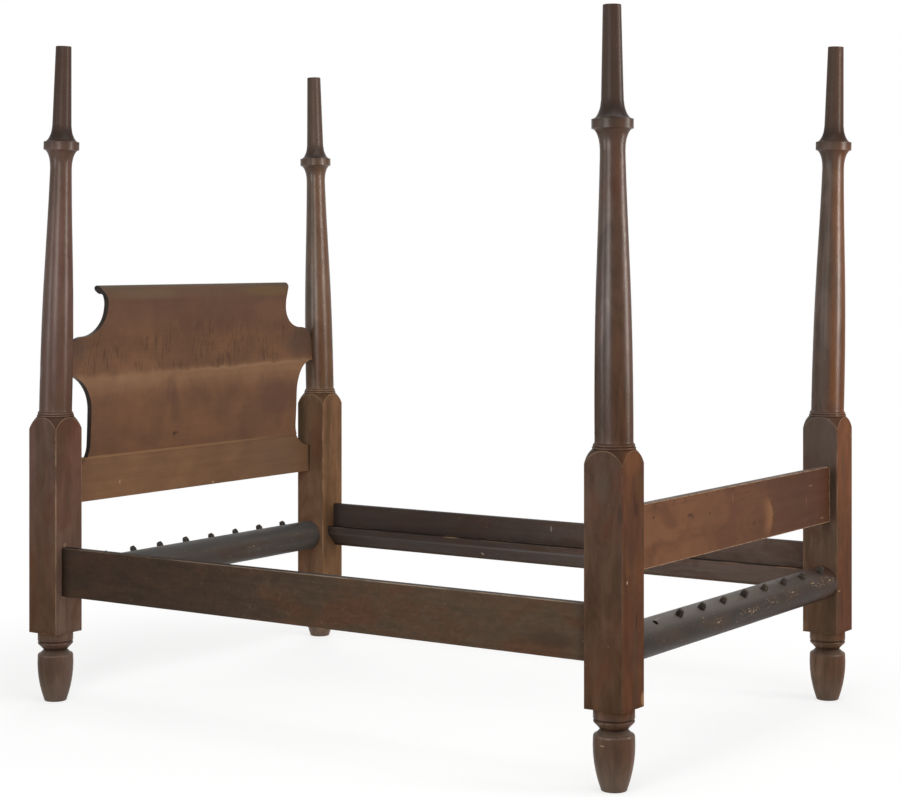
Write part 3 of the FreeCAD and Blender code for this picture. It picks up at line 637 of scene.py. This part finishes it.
def floor():
    """Pale floor that turns to plain white away from the bed and keeps the bed's soft shadow near it."""
    mesh = bpy.data.meshes.new("studio_floor")
    corners = [(x * floor_half, y * floor_half, 0.0) for x, y in ((-1, -1), (1, -1), (1, 1), (-1, 1))]
    mesh.from_pydata(corners, [], [(0, 1, 2, 3)])
    plane = bpy.data.objects.new("studio_floor", mesh)
    bpy.context.scene.collection.objects.link(plane)
    graph = Graph("pale_floor")
    tree = graph.tree
    tree.nodes.remove(graph.shader)
    plain = tree.nodes.new("ShaderNodeBsdfDiffuse")
    plain.inputs["Color"].default_value = floor_grey
    shaded = tree.nodes.new("ShaderNodeBsdfDiffuse")
    shaded.inputs["Color"].default_value = shown_floor_grey
    glow = tree.nodes.new("ShaderNodeEmission")
    glow.inputs["Strength"].default_value = shown_floor_glow
    white = tree.nodes.new("ShaderNodeEmission")
    white.inputs["Strength"].default_value = 1.0
    near = tree.nodes.new("ShaderNodeAddShader")
    tree.links.new(shaded.outputs[0], near.inputs[0])
    tree.links.new(glow.outputs[0], near.inputs[1])
    direct = tree.nodes.new("ShaderNodeMixShader")
    distance = graph.vector("LENGTH", graph.stretched(shadow_stretch))
    tree.links.new(graph.smooth(distance, *shadow_fade), direct.inputs[0])
    tree.links.new(near.outputs[0], direct.inputs[1])
    tree.links.new(white.outputs[0], direct.inputs[2])
    choice = tree.nodes.new("ShaderNodeMixShader")
    tree.links.new(seen_directly(tree), choice.inputs[0])
    tree.links.new(plain.outputs[0], choice.inputs[1])
    tree.links.new(direct.outputs[0], choice.inputs[2])
    tree.links.new(choice.outputs[0], tree.nodes["Material Output"].inputs["Surface"])
    mesh.materials.append(graph.material)


def camera():
    """Camera of the photograph's frame, with its horizon on the row where the photograph has it."""
    data = bpy.data.cameras.new("photo_camera")
    data.sensor_fit = "HORIZONTAL"
    data.sensor_width = sensor_width_mm
    data.lens = sensor_width_mm * focal_length_px / frame_width_px
    data.shift_y = (horizon_row_px - frame_height_px / 2) / frame_width_px
    data.clip_end = 200.0
    holder = bpy.data.objects.new("photo_camera", data)
    holder.location = camera_place
    holder.rotation_euler = (math.radians(90.0), 0.0, math.radians(-camera_heading_degrees))
    bpy.context.scene.collection.objects.link(holder)
    bpy.context.scene.camera = holder


camera()
world()
floor()
for box_name, settings in softboxes.items():
    light(box_name, **settings)
for card_name, settings in highlight_cards.items():
    light(card_name, **settings, diffuse=False)
light("back_fill", **back_fill, glossy=False)

dress(["post_foot_left"], post_wood(
    "post_wood_foot_left", -1, -1,
    west=(srgb(83, 64, 54), srgb(82, 60, 45)), south=(srgb(98, 63, 41), srgb(91, 56, 35)), foot=1.07,
    shaft=0.70, spire=0.62, gloss=0.42, spire_gloss=0.20, amber_figure_and_sheen=0.25, figure=1.45, wear=0.3, marks=[
        ((-0.685, -1.061, 0.860), (0.060, 0.02, 0.050), (122, 78, 50), 0.5),
        ((-0.651, -1.061, 0.802), (0.024, 0.02, 0.045), (92, 68, 42), 0.5),
        ((-0.679, -1.061, 0.761), (0.008, 0.02, 0.022), (64, 38, 30), 0.6),
        ((-0.740, -1.053, 0.725), (0.02, 0.011, 0.040), (52, 46, 40), 0.5),
        ((-0.740, -0.980, 0.756), (0.02, 0.022, 0.065), (98, 68, 57), 0.5),
        ((-0.716, -1.061, 0.550), (0.004, 0.01, 0.006), (190, 165, 140), 0.9),
        ((-0.669, -1.061, 0.735), (0.016, 0.02, 0.028), (58, 32, 28), 0.7),
        ((-0.682, -1.061, 0.680), (0.075, 0.02, 0.130), (80, 50, 37), 0.4),
        ((-0.666, -1.061, 0.443), (0.006, 0.02, 0.030), (50, 30, 24), 0.7),
        ((-0.632, -1.061, 0.236), (0.012, 0.02, 0.026), (158, 120, 84), 0.8),
        ((-0.725, -0.999, 0.125), (0.02, 0.011, 0.003), (196, 170, 140), 0.8),
        ((-0.740, -1.000, 0.800), (0.02, 0.030, 0.060), (88, 76, 64), 0.5),
    ]))
dress(["post_foot_right"], post_wood(
    "post_wood_foot_right", 1, -1,
    west=(srgb(97, 82, 73), srgb(113, 88, 70)), south=(srgb(113, 70, 43), srgb(88, 52, 31)), foot=1.22,
    shaft=0.87, spire=0.68, gloss=0.23, spire_gloss=0.05, amber_figure_and_sheen=0.9, figure=1.2, wear=0.5, marks=[
        ((0.624, -1.003, 0.800), (0.02, 0.070, 0.150), (92, 80, 73), 0.6),
        ((0.624, -0.950, 0.232), (0.02, 0.014, 0.022), (134, 108, 84), 0.6),
        ((0.640, -1.061, 0.350), (0.012, 0.010, 0.003), (176, 146, 114), 0.6),
        # Painted shadow of the foot board's end on the block's -X side
        ((0.624, -1.047, 0.655), (0.02, 0.014, 0.110), (48, 37, 29), 0.5),
    ]))
dress(["post_head_left"], post_wood(
    "post_wood_head_left", -1, 1,
    west=(srgb(100, 78, 70), srgb(86, 64, 49)), south=(srgb(98, 68, 56), srgb(109, 87, 75)), foot=0.94,
    shaft=0.84, spire=0.62, gloss=0.29, spire_gloss=0.12, amber_figure_and_sheen=0.05, figure=0.85, wear=1.0, marks=[
        ((-0.700, 0.945, 0.492), (0.010, 0.02, 0.010), (150, 125, 100), 0.5),
        ((-0.706, 0.945, 0.336), (0.012, 0.02, 0.014), (140, 116, 94), 0.4),
    ]))
dress(["post_head_right"], post_wood(
    "post_wood_head_right", 1, 1,
    west=(srgb(105, 80, 61), srgb(117, 88, 67)), south=(srgb(119, 87, 63), srgb(125, 92, 65)), foot=1.1,
    shaft=0.66, spire=0.72, gloss=0.57, spire_gloss=0.34, amber_figure_and_sheen=0.5, figure=1.2, wear=1.4, marks=[
        ((0.624, 1.050, 0.760), (0.02, 0.045, 0.220), (66, 54, 40), 0.6),
        ((0.624, 0.972, 0.740), (0.02, 0.034, 0.140), (110, 74, 53), 0.5),
    ]))
dress(["headboard_panel"], headboard_wood("headboard_wood", [
    ((-0.148, 0.993, 0.945), (0.034, 0.06, 0.065), (82, 56, 44), 0.4),
    ((-0.130, 0.993, 0.890), (0.028, 0.06, 0.080), (82, 56, 44), 0.4),
    ((-0.129, 0.993, 0.798), (0.010, 0.06, 0.010), (58, 38, 30), 0.85),
    ((-0.115, 0.993, 0.801), (0.012, 0.06, 0.004), (64, 42, 33), 0.7),
    ((-0.270, 0.993, 1.268), (0.200, 0.06, 0.024), (108, 88, 66), 0.3),
    ((0.360, 0.993, 1.270), (0.200, 0.06, 0.024), (112, 86, 52), 0.35),
    ((0.420, 0.993, 0.890), (0.130, 0.06, 0.090), (88, 60, 48), 0.5),
    ((0.380, 0.993, 1.200), (0.120, 0.06, 0.060), (120, 84, 60), 0.4),
    ((0.605, 0.993, 1.085), (0.180, 0.06, 0.090), (78, 59, 51), 0.65),
    ((-0.590, 0.993, 1.100), (0.080, 0.06, 0.060), (84, 64, 54), 0.45),
]))
dress(["headboard_rail"], headboard_rail_wood("headboard_rail_wood", [
    ((-0.386, 1.005, 0.658), (0.003, 0.02, 0.010), (185, 150, 118), 0.8),
    ((0.080, 1.005, 0.617), (0.007, 0.02, 0.004), (185, 150, 118), 0.8),
    ((0.622, 1.005, 0.680), (0.010, 0.06, 0.100), (44, 32, 26), 0.75),
]))
dress(["foot_board"], foot_board_wood("foot_board_wood", [
    ((-0.318, -1.036, 0.683), (0.022, 0.02, 0.007), (66, 42, 34), 0.65),
    ((-0.300, -1.036, 0.676), (0.010, 0.02, 0.009), (70, 46, 36), 0.5),
    ((-0.197, -1.036, 0.675), (0.007, 0.02, 0.005), (70, 44, 34), 0.8),
    ((-0.527, -1.036, 0.697), (0.007, 0.02, 0.006), (70, 44, 34), 0.8),
    ((-0.054, -1.036, 0.705), (0.008, 0.02, 0.022), (140, 100, 74), 0.3),
    ((0.088, -1.036, 0.618), (0.012, 0.02, 0.008), (66, 42, 32), 0.5),
    ((0.449, -1.036, 0.644), (0.003, 0.02, 0.022), (150, 112, 86), 0.4),
    ((0.480, -1.036, 0.691), (0.018, 0.02, 0.003), (156, 120, 94), 0.5),
    ((0.565, -1.036, 0.584), (0.018, 0.02, 0.003), (156, 120, 94), 0.5),
]))
dress(["side_rail_left", "side_rail_right"], side_rail_wood("side_rail_wood", [
    ((0.687, 0.0145, 0.461), (0.02, 0.005, 0.014), (150, 140, 130), 0.6),
    ((0.658, 0.405, 0.406), (0.006, 0.045, 0.004), (170, 140, 104), 0.7),
    ((0.675, 0.289, 0.354), (0.02, 0.007, 0.007), (180, 160, 140), 0.8),
    ((0.658, -0.880, 0.406), (0.006, 0.060, 0.004), (150, 112, 80), 0.7),
    ((0.658, -0.680, 0.406), (0.006, 0.050, 0.004), (140, 108, 80), 0.6),
    ((-0.714, -0.830, 0.380), (0.02, 0.090, 0.030), (58, 47, 38), 0.5),
]))
# The foot rail's top tone is a painted pale light on its top
dress(["foot_rope_rail"], rope_rail_paint(
    "foot_rope_rail_paint", tones=(srgb(52, 45, 40), srgb(64, 54, 47)), top_tone=srgb(102, 96, 91),
    warm_end=1.0, chipped_places=[
        (-0.192, 0.373, 0.045),
        (0.005, 0.374, 0.110),
        (0.158, 0.380, 0.080),
        (0.303, 0.390, 0.060),
        (0.520, 0.392, 0.130),
    ], marks=[
        ((-0.495, -1.045, 0.422), (0.040, 0.03, 0.0018), (170, 152, 132), 0.6),
        ((-0.192, -1.052, 0.373), (0.010, 0.03, 0.0025), (186, 158, 126), 0.8),
        ((0.005, -1.052, 0.376), (0.012, 0.03, 0.0025), (176, 146, 114), 0.8),
        ((0.030, -1.052, 0.372), (0.005, 0.03, 0.0060), (176, 146, 114), 0.7),
        ((0.158, -1.052, 0.381), (0.016, 0.03, 0.0020), (160, 136, 112), 0.6),
        ((0.303, -1.052, 0.391), (0.008, 0.03, 0.0025), (176, 146, 114), 0.8),
        ((0.454, -1.052, 0.398), (0.018, 0.03, 0.0020), (170, 142, 112), 0.7),
        ((0.574, -1.052, 0.392), (0.012, 0.03, 0.0025), (176, 146, 114), 0.8),
        ((-0.407, -1.045, 0.355), (0.005, 0.03, 0.0025), (150, 130, 110), 0.6),
    ]))
dress(["head_rope_rail"], rope_rail_paint(
    "head_rope_rail_paint", tones=(srgb(76, 70, 65), srgb(86, 77, 71)), top_tone=srgb(72, 70, 68),
    warm_end=0.0, chipped_places=[(0.250, 0.372, 0.050)], marks=[]))
dress([name for name in frame["nodes"] if "_peg_" in name], peg_wood("peg_wood"))

bpy.context.scene.view_settings.view_transform = "Standard"
